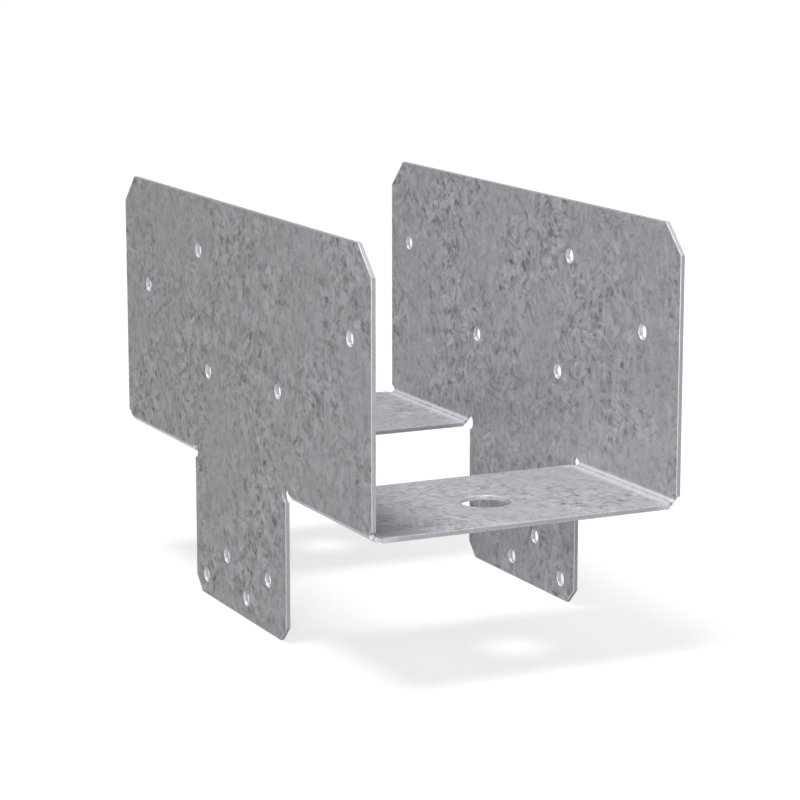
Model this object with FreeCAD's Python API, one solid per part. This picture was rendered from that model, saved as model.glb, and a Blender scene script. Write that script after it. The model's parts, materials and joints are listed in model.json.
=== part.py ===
import FreeCAD
import Part
import os
from math import cos, pi, sin, sqrt

# Column cap: one blank of sheet steel, folded into a channel that a beam lies in. Two legs are cut
# out of the seat's middle and hang in the plane of the side plates, one on each face of the post.
# Millimetres. X runs across the beam, Y along it, Z up, with the leg ends at Z = 0.

Vector = FreeCAD.Vector
UP = Vector(0, 0, 1)
ACROSS = Vector(1, 0, 0)
ORIGIN = Vector(0, 0, 0)

# Sheet and folds
sheet = 2.2  # thickness of the steel
bend_inside = 2.4  # inner radius of each fold
neutral_depth = 1.0  # from the inside of a fold to the line that keeps its length
relief_past_bend = 0.5  # how far the round reliefs run past each side of a fold

# Channel for the beam
beam_gap = 139.7  # clear width between the side plates
cap_length = 275.3  # of the side plates and the seat, along the beam
side_height = 118.0  # of the side plates, above the seat
side_corner = 12.5  # cut off the top corners at 45 degrees

# Legs on the post
leg_width = 103.1  # along the beam
leg_drop = 63.7  # below the underside of the seat
leg_corner = 6.8  # cut off the lower corners at 45 degrees
slit = 0.2  # between a leg's edge and the seat it was cut from

# Bolt hole in each half of the seat
seat_hole = 22.0  # diameter
seat_hole_from_end = 39.3

# Nail holes, staggered so that nails from the two sides pass each other
nail_hole = 6.2  # diameter
high_nail_along = 44.2
high_nail_below_top = 24.9
far_nail_from_end = 29.8
far_nail_below_top = 49.3
near_nail_from_end = 19.9
near_nail_below_top = 39.6
low_nail_along = 34.4
low_nail_above_seat = 39.3
mid_nail_along = 44.4
mid_nail_above_seat = 43.9
leg_nail_edge = 12.3  # from the leg's far edge to its first hole
leg_nail_back_edge = 19.4  # from the leg's near edge to its last hole
leg_nail_stagger = 24.6  # along the leg, from one row to the other
leg_nail_low = 9.5  # lower row, above the leg's end
leg_nail_high = 24.0  # upper row, above the leg's end

# Levels and places that follow from those sizes
seat_top = leg_drop + sheet
side_top = seat_top + side_height
half_gap = beam_gap / 2
half_length = cap_length / 2
half_leg = leg_width / 2
half_window = half_leg + slit
slit_middle = half_leg + slit / 2
bend_outside = bend_inside + sheet
bend_x = half_gap - bend_inside  # axis of the fold, and edge of the flat seat
bend_z = seat_top + bend_inside  # axis of the fold, and lower edge of the flat side plate
half_bend = (bend_inside + neutral_depth) * pi / 4  # half of a fold's length in the flat blank
relief = half_bend + relief_past_bend  # radius of the round reliefs


def plate(points, lift):
    """A flat plate: an outline of corners, thickened along lift."""
    return Part.Face(Part.makePolygon(points + points[:1])).extrude(lift)


def cut_round(solid, places, diameter, axis):
    """Round holes, or round bites at an edge, right through a plate that is square to axis."""
    depth = axis * (2 * sheet)
    for place in places:
        start = place - axis * (sheet / 2)
        solid = solid.cut(Part.makeCylinder(diameter / 2, depth.Length, start, axis))
    return solid


def side_plate():
    """Side plate at +X with its leg below, in one plane from the top edge to the leg's end."""
    top_end = half_length - side_corner
    leg_end = half_leg - leg_corner
    far_half = [
        (top_end, side_top),
        (half_length, side_top - side_corner),
        (half_length, bend_z),
        (half_leg, bend_z),
        (half_leg, leg_corner),
        (leg_end, 0),
    ]
    near_half = [(-y, z) for y, z in reversed(far_half)]
    outline = [Vector(half_gap, y, z) for y, z in far_half + near_half]
    solid = plate(outline, ACROSS * sheet)

    nails = [
        (-high_nail_along, side_top - high_nail_below_top),
        (far_nail_from_end - half_length, side_top - far_nail_below_top),
        (half_length - near_nail_from_end, side_top - near_nail_below_top),
        (-low_nail_along, seat_top + low_nail_above_seat),
        (mid_nail_along, seat_top + mid_nail_above_seat),
    ]
    first = leg_nail_edge - half_leg
    last = half_leg - leg_nail_back_edge
    nails += [
        (first, leg_nail_low),
        (first + leg_nail_stagger, leg_nail_high),
        (last - leg_nail_stagger, leg_nail_low),
        (last, leg_nail_high),
    ]
    solid = cut_round(solid, [Vector(half_gap, y, z) for y, z in nails], nail_hole, ACROSS)

    # the reliefs are centred on the middle of the fold as it lay in the flat blank
    level = bend_z - half_bend
    bites = [-half_length, -slit_middle, slit_middle, half_length]
    return cut_round(solid, [Vector(half_gap, y, level) for y in bites], 2 * relief, ACROSS)


def seat_half():
    """Flat half of the seat at +Y, from the window where the legs were cut to the end."""
    outline = [
        Vector(-bend_x, half_window, seat_top),
        Vector(bend_x, half_window, seat_top),
        Vector(bend_x, half_length, seat_top),
        Vector(-bend_x, half_length, seat_top),
    ]
    solid = plate(outline, -UP * sheet)
    hole = Vector(0, half_length - seat_hole_from_end, seat_top)
    solid = cut_round(solid, [hole], seat_hole, -UP)

    reach = bend_x + half_bend
    bites = [Vector(x, y, seat_top) for x in (-reach, reach) for y in (slit_middle, half_length)]
    return cut_round(solid, bites, 2 * relief, -UP)


def fold_point(radius, angle, along):
    """A point of the fold at +X: angle 0 meets the side plate, a quarter turn meets the seat."""
    return Vector(bend_x + radius * cos(angle), along, bend_z - radius * sin(angle))


def fold_relief(along):
    """What a round relief takes out of a fold: the disc of the flat blank, wrapped round the bend."""
    steps = 8
    overrun = sheet / 20
    inner = bend_inside - overrun
    outer = bend_outside + overrun
    sections = []
    for step in range(steps + 1):
        share = step / steps
        from_middle = half_bend * (2 * share - 1)
        half_width = sqrt(relief**2 - from_middle**2)
        corners = [
            fold_point(inner, share * pi / 2, along - half_width),
            fold_point(outer, share * pi / 2, along - half_width),
            fold_point(outer, share * pi / 2, along + half_width),
            fold_point(inner, share * pi / 2, along + half_width),
        ]
        sections.append(Part.makePolygon(corners + corners[:1]))
    return Part.makeLoft(sections, True, False)


def fold():
    """Quarter-round fold at +X and +Y between the seat and the side plate, open at both reliefs."""
    turns = (0, pi / 4, pi / 2)
    inside = [fold_point(bend_inside, turn, half_window) for turn in turns]
    outside = [fold_point(bend_outside, turn, half_window) for turn in turns]
    section = Part.Wire(
        [
            Part.Arc(*inside).toShape(),
            Part.makeLine(inside[2], outside[2]),
            Part.Arc(*reversed(outside)).toShape(),
            Part.makeLine(outside[0], inside[0]),
        ]
    )
    solid = Part.Face(section).extrude(Vector(0, half_length - half_window, 0))
    for along in (slit_middle, half_length):
        solid = solid.cut(fold_relief(along))
    return solid


def half_turn(solid):
    """The same piece on the opposite side: the cap matches itself when turned about Z."""
    turned = solid.copy()
    turned.rotate(ORIGIN, UP, 180)
    return turned


def cap_body():
    """The whole cap as one solid."""
    side = side_plate()
    seat = seat_half()
    far_fold = fold()
    near_fold = far_fold.mirror(ORIGIN, Vector(0, 1, 0))
    pieces = [seat, far_fold, near_fold]
    pieces += [half_turn(piece) for piece in [side] + pieces]
    body = side.fuse(pieces).removeSplitter()
    return body.Solids[0] if len(body.Solids) == 1 else body


os.makedirs("parts", exist_ok=True)
cap_body().exportStep("parts/cap_body.step")
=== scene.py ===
"""Column cap, dressed: the folded sheet with rolled-over cut edges and a spangled zinc finish.

The cap is drawn as its flat blank and then folded, so the zinc's pattern runs round the folds as it
does on the real sheet. Metres. X runs across the beam, Y along it, Z up.
"""

import json
from collections import namedtuple
from math import asin, copysign, cos, pi, radians, sin

import bpy
import numpy as np
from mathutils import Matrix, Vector
from mathutils.geometry import delaunay_2d_cdt
from mathutils.kdtree import KDTree


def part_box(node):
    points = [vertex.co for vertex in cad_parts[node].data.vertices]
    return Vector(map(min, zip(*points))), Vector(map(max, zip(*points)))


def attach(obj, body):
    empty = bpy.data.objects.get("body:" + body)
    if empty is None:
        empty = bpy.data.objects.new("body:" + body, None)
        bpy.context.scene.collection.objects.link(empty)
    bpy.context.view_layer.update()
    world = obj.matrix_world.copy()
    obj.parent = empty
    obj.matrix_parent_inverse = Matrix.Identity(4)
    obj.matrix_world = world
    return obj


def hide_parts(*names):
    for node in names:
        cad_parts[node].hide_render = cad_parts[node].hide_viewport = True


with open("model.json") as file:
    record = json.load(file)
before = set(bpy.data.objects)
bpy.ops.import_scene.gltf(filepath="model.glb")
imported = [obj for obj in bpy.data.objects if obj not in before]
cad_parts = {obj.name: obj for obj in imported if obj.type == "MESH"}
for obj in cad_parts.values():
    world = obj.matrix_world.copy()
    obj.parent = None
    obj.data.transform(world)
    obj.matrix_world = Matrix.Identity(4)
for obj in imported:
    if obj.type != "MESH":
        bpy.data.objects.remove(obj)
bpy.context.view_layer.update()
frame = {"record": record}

mm = 0.001
quarter = pi / 2

# Sizes that the frame gives
mounts = {mount["name"]: mount for mount in frame["record"]["mounts"]}
low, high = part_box("cap_body")
half_length = high.y
side_top = high.z
seat_top = mounts["beam_seat"]["pos_m"][2]
sheet = seat_top - mounts["post_bearing"]["pos_m"][2]
half_gap = high.x - sheet
seat_hole = mounts["seat_bolts"]["dims"]["hole_r_mm"] * mm
seat_hole_along = mounts["seat_bolts"]["dims"]["spacing_y_mm"] * mm / 2
nail_hole = mounts["post_nails_right_low"]["dims"]["hole_r_mm"] * mm

# Folds, legs and corners
bend_inside = 2.4 * mm
neutral_depth = 1.0 * mm  # from the inside of a fold to the line that keeps its length
relief_past_bend = 0.5 * mm
side_corner = 12.5 * mm
half_leg = 51.55 * mm
leg_corner = 6.8 * mm
slit = 0.2 * mm

# Nail holes of the side plate at +X, as (along, up); a half turn gives those at -X
beam_nails = [
    (-44.2 * mm, side_top - 24.9 * mm),
    (29.8 * mm - half_length, side_top - 49.3 * mm),
    (half_length - 19.9 * mm, side_top - 39.6 * mm),
    (-34.4 * mm, seat_top + 39.3 * mm),
    (44.4 * mm, seat_top + 43.9 * mm),
]

# Painted highlight lines in the folds: a sharp one on the bend, and a soft one that fades into the bend
# and the seat
sharp_turn = radians(56)
sharp_spread = radians(20)
soft_in_bend = 2 * mm
soft_in_seat = 4 * mm
soft_pale = 0.5  # of the sharp line

# Rims of the cuts: radius of the rolled-over edge, how far it shines, and how pale painted light makes
# that edge, as a painted highlight, and the wall of the cut, where shade falls
Rim = namedtuple("Rim", "radius shine rubbed_edge rubbed_wall")
sheared = Rim(0.48 * mm, 1.0, 0.0, 0.0)
nail_punched = Rim(0.35 * mm, 0.0, 0.7, 0.45)
seat_punched = Rim(0.48 * mm, 0.0, 0.2, 0.35)

# Mesh
edge_steps = 4  # over each rolled edge
fold_steps = 10
nail_hole_steps = 48
seat_hole_steps = 96
relief_steps = 40
grid_step = 8 * mm
grid_margin = 2.5 * mm  # kept clear between the grid and the cut edges
merge_within = 1e-7  # points closer than this are one

# Zinc: sizes of its pattern, and how narrow its flakes and needles are for their length
border_wave = 5 * mm
crystal_size = 8 * mm
flake_size = 2.1 * mm
grain_size = 2.5 * mm
needle_size = 2.6 * mm
speck_size = 3.5 * mm
mottle_size = 9 * mm
cloud_size = 45 * mm
flake_narrow = 0.45
needle_narrow = 0.2
flake_share = 0.35  # of flakes against grain

# Zinc: what each value of its pattern gives, from a low value to a high one
Ramp = namedtuple("Ramp", "low high at_low at_high")
pale_flakes = Ramp(0.5, 0.7, 0, 0.14)
dark_flakes = Ramp(0.28, 0.5, 0.26, 0)
pale_needles = Ramp(0.63, 0.73, 0, 0.2)
dark_specks = Ramp(0.28, 0.4, 0.3, 0)
mottling = Ramp(0.3, 0.7, -0.12, 0.12)
clear_by_cloud = Ramp(0.38, 0.62, 0.5, 1.15)
clear_by_cut = Ramp(0.2, 0.9, 1, 0.15)
clear_by_painted_light = Ramp(0, 1, 1, 0.1)
metal_by_spangle = Ramp(-0.4, 0.2, 0, 0.16)
rough_by_flakes = Ramp(0.25, 0.75, 0.38, 0.28)
# the outside's lower tone is painted shade
tone_and_painted_shade_by_side = Ramp(0.4, 0.6, 0.425, 0.354)  # inside, then outside
tone_by_cut = Ramp(0.92, 1, 1, 0.98)
rolled_from = Ramp(0.1, 0.5, 0, 1)
rolled_to = Ramp(0.92, 1, 1, 0)

# Zinc: what rolled edges and the painted highlights of folds and holes add to its tone, which is painted
# highlight, and to its metal; its cool cast and its gloss
# the tone that rolled edges add is a painted highlight along the rims
rolled_painted_highlight = 0.16
rolled_metal = 0.4
painted_light_tone = 0.48
painted_light_metal = 0.28
shine_smooths = 0.08
blue_cast = 1.06
zinc_specular = 0.05

# Studio
white = (1, 1, 1, 1)
half_floor = 12.0
paper = (0.28, 0.28, 0.28, 1)
paper_glow = 0.72
even_light = 0.2
backdrop_by_height = Ramp(0.03, 0.2, 1, 0.1)

# What follows from those sizes
half_window = half_leg + slit
slit_middle = half_leg + slit / 2
bend_x = half_gap - bend_inside
bend_z = seat_top + bend_inside
bend_neutral = bend_inside + neutral_depth
half_bend = bend_neutral * pi / 4
bend_middle = bend_x + half_bend
wall_across = bend_x + 2 * half_bend
relief = half_bend + relief_past_bend


def across_at(level):
    """How far from the blank's middle line a level of the side plates or legs was cut."""
    return wall_across + level - bend_z


top_across = across_at(side_top)
leg_across = across_at(0)


# The fold


def turn_at(across, along):
    """How far the sheet is turned up from the seat: a quarter turn on side plates and legs."""
    if abs(along) < slit_middle:
        return quarter
    return min(max((abs(across) - bend_x) / bend_neutral, 0), quarter)


def fold(across, along, depth):
    """Where a point of the blank lies on the cap. Depth runs from the inside of the channel."""
    turn = turn_at(across, along)
    reach = abs(across)
    if turn == quarter:
        x, z = half_gap + depth, bend_z + reach - wall_across
    elif turn == 0:
        x, z = reach, seat_top - depth
    else:
        radius = bend_inside + depth
        x, z = bend_x + radius * sin(turn), bend_z - radius * cos(turn)
    return Vector((copysign(x, across), along, z))


def painted_fold_highlight_at(across, along):
    """How pale a fold is painted as a highlight: 1 on the sharp line, and less on the soft one."""
    if abs(along) < slit_middle:
        return 0
    past_seat = abs(across) - bend_x
    to_sharp = abs(turn_at(across, along) - sharp_turn)
    fade = soft_in_bend if past_seat > 0 else soft_in_seat
    return max(1 - to_sharp / sharp_spread, soft_pale * (1 - abs(past_seat) / fade), 0)


def facing(across, along, out, tilt):
    """The skin's normal, tilted from the inside of the channel towards out, a way in the blank."""
    turn = turn_at(across, along)
    side = copysign(1, across)
    inside = Vector((-side * sin(turn), 0, cos(turn)))
    outward = Vector((out.x * cos(turn), out.y, out.x * side * sin(turn)))
    return inside * cos(tilt) + outward * sin(tilt)


# Cut edges of the flat blank: runs of (point, way out of the sheet), with the sheet on the left


def line(start, end):
    start, end = Vector(start), Vector(end)
    ahead = (end - start).normalized()
    out = Vector((ahead.y, -ahead.x))
    steps = max(1, round((end - start).length / grid_step))
    return [(start.lerp(end, step / steps), out) for step in range(steps + 1)]


def arc(centre, radius, start, end, steps):
    """A round cut, made clockwise: the way out of the sheet is towards the centre."""
    run = []
    for step in range(steps + 1):
        angle = start + (end - start) * step / steps
        spoke = Vector((cos(angle), sin(angle)))
        run.append((Vector(centre) + spoke * radius, -spoke))
    return run


def round_hole(centre, radius, steps):
    return [arc(centre, radius, 2 * pi, 0, steps)]


def twice(runs):
    """A cut made of runs and of the same runs given a half turn."""
    return runs + [[(-point, -out) for point, out in run] for run in runs]


def outer_cut():
    """The blank's outline, with its top corners cut off and a round notch at each end of a fold."""
    top_end = half_length - side_corner
    corner = top_across - side_corner
    wall_side = bend_middle + relief
    seat_side = bend_middle - relief
    steps = relief_steps // 2
    return twice(
        [
            line((top_across, -top_end), (top_across, top_end)),
            line((top_across, top_end), (corner, half_length)),
            line((corner, half_length), (wall_side, half_length)),
            arc((bend_middle, half_length), relief, 0, -pi, steps),
            line((seat_side, half_length), (-seat_side, half_length)),
            arc((-bend_middle, half_length), relief, 0, -pi, steps),
            line((-wall_side, half_length), (-corner, half_length)),
            line((-corner, half_length), (-top_across, top_end)),
        ]
    )


def window_cut():
    """Leg ends, the slits beside the legs, and the round reliefs where the slits stop."""
    leg_end = half_leg - leg_corner
    leg_side = leg_across + leg_corner
    mouth = asin(slit / 2 / relief)
    slit_stop = bend_middle - relief * cos(mouth)
    right = (bend_middle, -slit_middle)
    left = (-bend_middle, -slit_middle)
    return twice(
        [
            line((leg_across, leg_end), (leg_across, -leg_end)),
            line((leg_across, -leg_end), (leg_side, -half_leg)),
            line((leg_side, -half_leg), (slit_stop, -half_leg)),
            arc(right, relief, pi - mouth, mouth - pi, relief_steps),
            line((slit_stop, -half_window), (-slit_stop, -half_window)),
            arc(left, relief, -mouth, mouth - 2 * pi, relief_steps),
            line((-slit_stop, -half_leg), (-leg_side, -half_leg)),
            line((-leg_side, -half_leg), (-leg_across, -leg_end)),
        ]
    )


def post_nails():
    """Nail holes of the leg at +X, as (along, up), from the rows in the record."""
    found = []
    for name in ("post_nails_right_low", "post_nails_right_high"):
        _, along, up = mounts[name]["pos_m"]
        half_row = mounts[name]["dims"]["spacing_x_mm"] * mm / 2
        found += [(along - half_row, up), (along + half_row, up)]
    return found


def all_cuts():
    """Every cut of the blank, as its stations and its rim."""
    cuts = [(outer_cut(), sheared), (window_cut(), sheared)]
    for side in (1, -1):
        cuts.append((round_hole((0, side * seat_hole_along), seat_hole, seat_hole_steps), seat_punched))
        for along, up in beam_nails + post_nails():
            centre = (side * across_at(up), side * along)
            cuts.append((round_hole(centre, nail_hole, nail_hole_steps), nail_punched))
    return [(stations(runs), rim) for runs, rim in cuts]


def stations(runs):
    """Points of a closed cut: (point, mitred way out, way out before it, way out after it)."""
    found = []
    for index, run in enumerate(runs):
        for step, (point, after) in enumerate(run[:-1]):
            before = after if step else runs[index - 1][-1][1]
            mitre = (before + after) / (1 + before.dot(after))
            found.append((point, mitre, before, after))
    return found


# The mesh


class Skin:
    """Vertices, faces, and each face corner's normal and place in the blank."""

    # the shift also sets the outside apart, which the zinc paints darker as painted shade
    outside_shift = 1.0  # keeps the outside's zinc pattern apart from the inside's

    def __init__(self):
        self.places = []
        self.cut = []
        self.pressed = []
        self.faces = []
        self.normals = []
        self.blank = []

    def vertex(self, point, depth, cut=0, painted_rim_light=0):
        """A vertex at a depth in the blank. Cut is 0 on the faces and 1 in the middle of a shining cut
        edge, and the last argument is how pale painted light makes it."""
        self.places.append(fold(*point, depth))
        self.cut.append(cut)
        # painted highlight of the folds, and painted light on the holes' rims
        self.pressed.append(max(painted_fold_highlight_at(*point), painted_rim_light))
        return len(self.places) - 1

    def face(self, corners, outside):
        """Corners are (vertex, normal, point of the blank)."""
        shift = Vector((self.outside_shift if outside else 0, 0))
        self.faces.append([vertex for vertex, _, _ in corners])
        self.normals += [normal for _, normal, _ in corners]
        self.blank += [point + shift for _, _, point in corners]

    def to_object(self, piece_name):
        mesh = bpy.data.meshes.new(piece_name)
        mesh.from_pydata(self.places, [], self.faces)
        uv = mesh.uv_layers.new(name="blank")
        uv.uv.foreach_set("vector", [value for point in self.blank for value in point])
        for name, values in (("cut", self.cut), ("pressed", self.pressed)):
            mesh.attributes.new(name, "FLOAT", "POINT").data.foreach_set("value", values)
        mesh.shade_smooth()
        mesh.normals_split_custom_set(self.normals)
        piece = bpy.data.objects.new(piece_name, mesh)
        bpy.context.scene.collection.objects.link(piece)
        return piece


def rim_profile(rolled):
    """(inset, depth, tilt) across a cut edge, from the inside of the sheet to its outside."""
    profile = []
    for step in range(edge_steps + 1):
        tilt = quarter * step / edge_steps
        profile.append((rolled * (1 - sin(tilt)), rolled * (1 - cos(tilt)), tilt))
    return profile + [(inset, sheet - depth, pi - tilt) for inset, depth, tilt in reversed(profile)]


def add_rim(skin, cut, rim):
    """The rolled edge along one cut. Returns the rings where it meets the two faces."""
    profile = rim_profile(rim.radius)
    rings = []
    for inset, depth, tilt in profile:
        points = [point - mitre * inset for point, mitre, _, _ in cut]
        # painted light: a hole's wall is painted pale against its shade, and its edge gets a painted
        # highlight ring
        painted_rim_light = rim.rubbed_wall * sin(tilt) + rim.rubbed_edge * abs(sin(2 * tilt))
        rings.append([skin.vertex(point, depth, rim.shine * sin(tilt), painted_rim_light) for point in points])

    def corner(ring, index, out):
        _, depth, tilt = profile[ring]
        point, mitre, _, _ = cut[index]
        spread = point + mitre * min(depth, sheet - depth)
        return rings[ring][index], facing(*point, out, tilt), spread

    for ring in range(len(profile) - 1):
        for index in range(len(cut)):
            following = (index + 1) % len(cut)
            after = cut[index][3]
            before = cut[following][2]
            corners = [
                corner(ring, index, after),
                corner(ring + 1, index, after),
                corner(ring + 1, following, before),
                corner(ring, following, before),
            ]
            skin.face(corners, outside=ring > edge_steps)
    return rings[0], rings[-1]


def between(start, end):
    """Even steps strictly between two values."""
    steps = max(1, round((end - start) / grid_step))
    return [start + (end - start) * step / steps for step in range(1, steps)]


def grid_points():
    """Points inside the blank's flats and folds, for an even mesh."""
    leg_rows = between(-half_leg, half_leg)
    far_rows = between(half_window, half_length)
    seat_rows = far_rows + [-along for along in far_rows]
    fold_lines = [bend_x + 2 * half_bend * step / fold_steps for step in range(fold_steps + 1)]
    fold_lines.append(bend_x - soft_in_seat)
    points = [(across, along) for across in between(-bend_x, bend_x) for along in seat_rows]
    for side in (1, -1):
        points += [(side * across, along) for across in fold_lines for along in seat_rows]
        wall_lines = between(wall_across, top_across)
        points += [(side * across, along) for across in wall_lines for along in leg_rows + seat_rows]
        leg_lines = between(leg_across, wall_across) + [wall_across]
        points += [(side * across, along) for across in leg_lines for along in leg_rows]
    return [Vector(point) for point in points]


def within(triangles, points, edges):
    """The triangles that lie in the sheet: a line from there to the side crosses an odd count of cuts."""
    flat = np.array(points)
    centres = flat[np.array(triangles)].mean(axis=1)
    start, end = flat[np.array(edges)].transpose(1, 0, 2)
    across, along = centres[:, :1], centres[:, 1:]
    spans = (start[:, 1] > along) != (end[:, 1] > along)
    rise = np.where(start[:, 1] == end[:, 1], 1, end[:, 1] - start[:, 1])
    meets = start[:, 0] + (along - start[:, 1]) / rise * (end[:, 0] - start[:, 0])
    odd = (spans & (across < meets)).sum(axis=1) % 2
    return [triangle for triangle, inside in zip(triangles, odd) if inside]


def add_faces(skin, cuts, rings):
    """The two faces of the sheet, inside and outside, within the rolled edges."""
    points, inner, outer, edges = [], [], [], []
    for (cut, rim), (inner_ring, outer_ring) in zip(cuts, rings):
        first = len(points)
        count = len(cut)
        points += [point - mitre * rim.radius for point, mitre, _, _ in cut]
        inner += inner_ring
        outer += outer_ring
        edges += [(first + index, first + (index + 1) % count) for index in range(count)]

    near_cut = KDTree(len(points))
    for index, point in enumerate(points):
        near_cut.insert(point.to_3d(), index)
    near_cut.balance()
    for point in grid_points():
        if near_cut.find(point.to_3d())[2] > grid_margin:
            points.append(point)
            inner.append(skin.vertex(point, 0))
            outer.append(skin.vertex(point, sheet))

    _, _, triangles, origins, _, _ = delaunay_2d_cdt(points, edges, [], 0, merge_within)
    triangles = [[origins[index][0] for index in triangle] for triangle in triangles]
    still = Vector((0, 0))
    for corners in within(triangles, points, edges):
        up = [(inner[i], facing(*points[i], still, 0), points[i]) for i in corners]
        down = [(outer[i], facing(*points[i], still, pi), points[i]) for i in reversed(corners)]
        skin.face(up, outside=False)
        skin.face(down, outside=True)


def make_cap():
    skin = Skin()
    cuts = all_cuts()
    rings = [add_rim(skin, *cut) for cut in cuts]
    add_faces(skin, cuts, rings)
    return skin.to_object("column_cap")


# Materials


class Graph:
    """A material's or world's node tree, built from its inputs to its output."""

    def __init__(self, owner):
        owner.use_nodes = True
        self.tree = owner.node_tree
        self.tree.nodes.clear()

    def add(self, kind, inputs=None, **settings):
        node = self.tree.nodes.new("ShaderNode" + kind)
        for name, value in settings.items():
            setattr(node, name, value)
        for name, value in (inputs or {}).items():
            if isinstance(value, bpy.types.NodeSocket):
                self.tree.links.new(value, node.inputs[name])
            else:
                node.inputs[name].default_value = value
        return node

    def math(self, operation, first, second):
        return self.add("Math", {0: first, 1: second}, operation=operation).outputs[0]

    def plus(self, first, second):
        return self.math("ADD", first, second)

    def minus(self, first, second):
        return self.math("SUBTRACT", first, second)

    def times(self, first, second):
        return self.math("MULTIPLY", first, second)

    def larger(self, first, second):
        return self.math("MAXIMUM", first, second)

    def ramp(self, value, ramp):
        inputs = {
            "Value": value,
            "From Min": ramp.low,
            "From Max": ramp.high,
            "To Min": ramp.at_low,
            "To Max": ramp.at_high,
        }
        return self.add("MapRange", inputs).outputs[0]

    def attribute(self, name):
        return self.add("Attribute", attribute_name=name).outputs["Fac"]

    def noise(self, place, size, detail, output="Fac"):
        inputs = {"Vector": place, "Scale": 1 / size, "Detail": detail}
        return self.add("TexNoise", inputs, noise_dimensions="2D").outputs[output]

    def cells(self, place, size, channel):
        """A value for each cell of a pattern of cells. Each channel has values of its own."""
        inputs = {"Vector": place, "Scale": 1 / size}
        colour = self.add("TexVoronoi", inputs, voronoi_dimensions="2D").outputs["Color"]
        return self.add("SeparateColor", {0: colour}).outputs[channel]

    def drawn_out(self, place, narrow):
        """Draws a pattern out along X, by one over how narrow it is."""
        return self.add("Mapping", {"Vector": place, "Scale": (narrow, 1, 1)}).outputs[0]


def spangle_of(graph, blank):
    """How much paler or darker the crystals make the zinc, and the mix of flakes and grain in them."""
    # crystals: cells with wavy borders, each with its own heading
    wave = graph.noise(blank, border_wave, 2, "Color")
    sway = graph.add("VectorMath", {0: wave, "Scale": border_wave}, operation="SCALE").outputs[0]
    swayed = graph.add("VectorMath", {0: blank, 1: sway}, operation="ADD").outputs[0]
    heading = graph.times(graph.cells(swayed, crystal_size, "Red"), 2 * pi)
    turn = {"Vector": blank, "Angle": heading}
    turned = graph.add("VectorRotate", turn, rotation_type="Z_AXIS").outputs[0]

    # each crystal is made of flakes with a finer grain over them, whose dark side is the stronger
    drawn = graph.drawn_out(turned, flake_narrow)
    flakes = graph.times(graph.cells(drawn, flake_size, "Green"), flake_share)
    grain = graph.times(graph.noise(drawn, grain_size, 2), 1 - flake_share)
    mixed = graph.plus(flakes, grain)

    # pale needles lie in the crystals, with dark specks between them and a mottle over all
    needles = graph.noise(graph.drawn_out(turned, needle_narrow), needle_size, 1)
    specks = graph.noise(swayed, speck_size, 1)
    mottle = graph.noise(swayed, mottle_size, 2)
    pale = graph.plus(graph.ramp(mixed, pale_flakes), graph.ramp(needles, pale_needles))
    pale = graph.plus(pale, graph.ramp(mottle, mottling))
    dark = graph.plus(graph.ramp(mixed, dark_flakes), graph.ramp(specks, dark_specks))
    return graph.minus(pale, dark), mixed


def zinc():
    """Spangled zinc: feathery crystals that lie every way, dark specks between them, and bright rims and
    folds, partly metal shine and partly painted highlight.
    """
    material = bpy.data.materials.new("galvanised_steel")
    graph = Graph(material)
    blank = graph.add("UVMap", uv_map="blank").outputs[0]
    cut = graph.attribute("cut")
    pressed = graph.attribute("pressed")
    spangle, mixed = spangle_of(graph, blank)

    # the pattern is clear in some clouds, dull in others, and faint on cut edges and on the painted
    # highlights of folds and holes
    clear = graph.ramp(graph.noise(blank, cloud_size, 2), clear_by_cloud)
    plain = graph.times(graph.ramp(cut, clear_by_cut), graph.ramp(pressed, clear_by_painted_light))
    spangle = graph.times(spangle, graph.times(clear, plain))

    # the outside is painted a little darker as painted shade, and the middle of a sheared edge is a
    # little darker too
    across = graph.add("SeparateXYZ", {0: blank}).outputs[0]
    base = graph.times(graph.ramp(across, tone_and_painted_shade_by_side), graph.ramp(cut, tone_by_cut))
    tone = graph.times(graph.plus(spangle, 1.0), base)

    # painted highlights: the fold lines, the holes' rims and walls, and the rolled edges are painted
    # pale, and all of them shine with more metal
    rolled = graph.times(graph.ramp(cut, rolled_from), graph.ramp(cut, rolled_to))
    tone = graph.plus(tone, graph.times(pressed, painted_light_tone))
    # painted highlight: the rolled edges are painted paler
    tone = graph.plus(tone, graph.times(rolled, rolled_painted_highlight))
    blue = graph.times(tone, blue_cast)
    colour = graph.add("CombineColor", {0: tone, 1: tone, 2: blue}).outputs[0]
    shine = graph.plus(graph.times(rolled, rolled_metal), graph.times(pressed, painted_light_metal))
    metallic = graph.plus(graph.ramp(spangle, metal_by_spangle), shine)
    roughness = graph.minus(graph.ramp(mixed, rough_by_flakes), graph.times(shine, shine_smooths))
    shader = graph.add(
        "BsdfPrincipled",
        {
            "Base Color": colour,
            "Metallic": metallic,
            "Roughness": roughness,
            "Specular IOR Level": zinc_specular,
        },
    )
    graph.add("OutputMaterial", {"Surface": shader.outputs[0]})
    return material


def seen_directly(graph):
    """1 for what the camera sees, by itself or in metal and glass, and 0 for light on the object."""
    rays = graph.add("LightPath").outputs
    shown = graph.larger(rays["Is Camera Ray"], rays["Is Glossy Ray"])
    return graph.larger(shown, rays["Is Transmission Ray"])


def floor_finish():
    material = bpy.data.materials.new("floor")
    graph = Graph(material)
    matt = graph.add("BsdfDiffuse", {"Color": paper})
    strength = graph.times(seen_directly(graph), paper_glow)
    glow = graph.add("Emission", {"Color": white, "Strength": strength})
    both = graph.add("AddShader", {0: matt.outputs[0], 1: glow.outputs[0]})
    graph.add("OutputMaterial", {"Surface": both.outputs[0]})
    return material


# The studio


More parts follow.
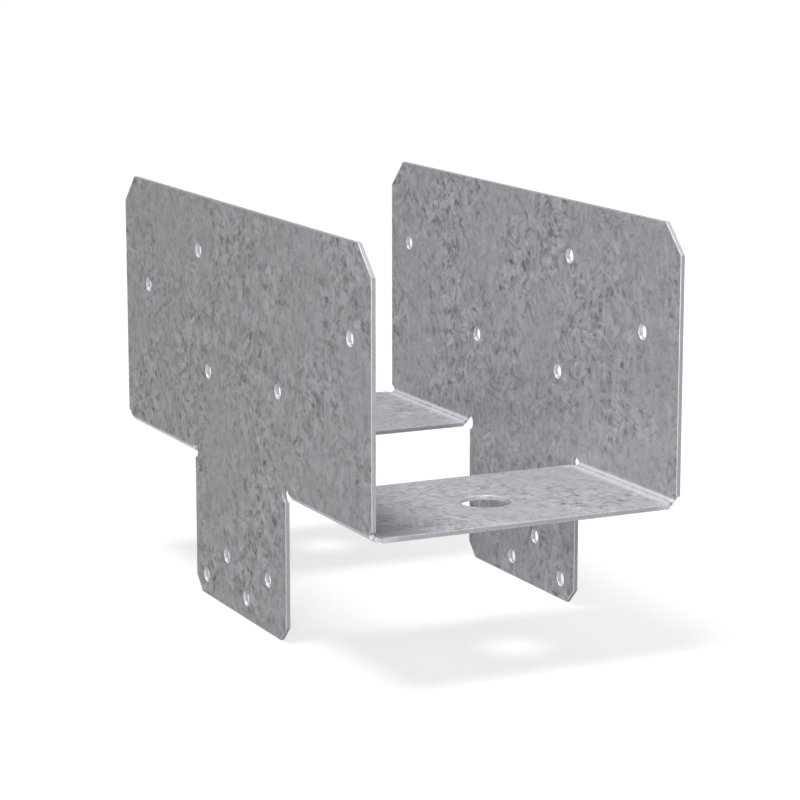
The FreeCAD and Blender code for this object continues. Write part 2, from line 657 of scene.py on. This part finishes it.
def make_floor():
    mesh = bpy.data.meshes.new("floor")
    signs = ((-1, -1), (1, -1), (1, 1), (-1, 1))
    corners = [(half_floor * x, half_floor * y, 0) for x, y in signs]
    mesh.from_pydata(corners, [], [(0, 1, 2, 3)])
    mesh.materials.append(floor_finish())
    floor = bpy.data.objects.new("floor", mesh)
    bpy.context.scene.collection.objects.link(floor)


def make_world():
    """Even light on the cap, while its gloss shows a pale backdrop that darkens upwards."""
    world = bpy.data.worlds.new("studio")
    graph = Graph(world)
    up = graph.add("SeparateXYZ", {0: graph.add("TexCoord").outputs["Generated"]}).outputs[2]
    backdrop = graph.ramp(up, backdrop_by_height)
    strength = graph.ramp(seen_directly(graph), Ramp(0, 1, even_light, backdrop))
    background = graph.add("Background", {"Color": white, "Strength": strength})
    graph.add("OutputWorld", {"Surface": background.outputs[0]})
    bpy.context.scene.world = world


def place_lamp(lamp, heading, height, distance):
    """Aims a lamp at the cap. Heading is in degrees from -Y towards +X, height is in degrees too."""
    turn, rise = radians(heading), radians(height)
    way = Vector((sin(turn) * cos(rise), -cos(turn) * cos(rise), sin(rise)))
    lamp_object = bpy.data.objects.new(lamp.name, lamp)
    lamp_object.location = (low + high) / 2 + way * distance
    lamp_object.rotation_euler = way.to_track_quat("Z", "Y").to_euler()
    bpy.context.scene.collection.objects.link(lamp_object)


def key_light(heading, height, spread, strength):
    """A broad light far off, which lights the whole floor evenly. Spread is the angle it fills."""
    lamp = bpy.data.lights.new("key", "SUN")
    lamp.angle = radians(spread)
    lamp.energy = strength
    place_lamp(lamp, heading, height, distance=3.0)


def softbox(name, heading, height, distance, size, power):
    lamp = bpy.data.lights.new(name, "AREA")
    lamp.shape = "SQUARE"
    lamp.size = size
    lamp.energy = power
    place_lamp(lamp, heading, height, distance)


def make_camera():
    """The photograph's viewpoint: its place, heading from +Y towards +X, and look down."""
    place = (-0.53071, -1.10657, 0.33723)
    heading = radians(25.939)
    look_down = radians(11.306)
    camera = bpy.data.cameras.new("camera")
    camera.sensor_width = 36
    camera.lens = 124.474
    camera_object = bpy.data.objects.new("camera", camera)
    camera_object.location = place
    camera_object.rotation_euler = (quarter - look_down, 0, -heading)
    bpy.context.scene.collection.objects.link(camera_object)
    bpy.context.scene.camera = camera_object


cap = make_cap()
cap.data.materials.append(zinc())
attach(cap, "root")
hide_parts("cap_body")

make_floor()
make_world()
key_light(heading=270, height=77, spread=20, strength=2.7)
softbox("front", heading=335, height=12, distance=1.2, size=0.6, power=8)
softbox("right", heading=66, height=62, distance=1.2, size=0.5, power=2)
softbox("side", heading=100, height=12, distance=1.2, size=0.6, power=5.5)
make_camera()
bpy.context.scene.view_settings.view_transform = "Standard"
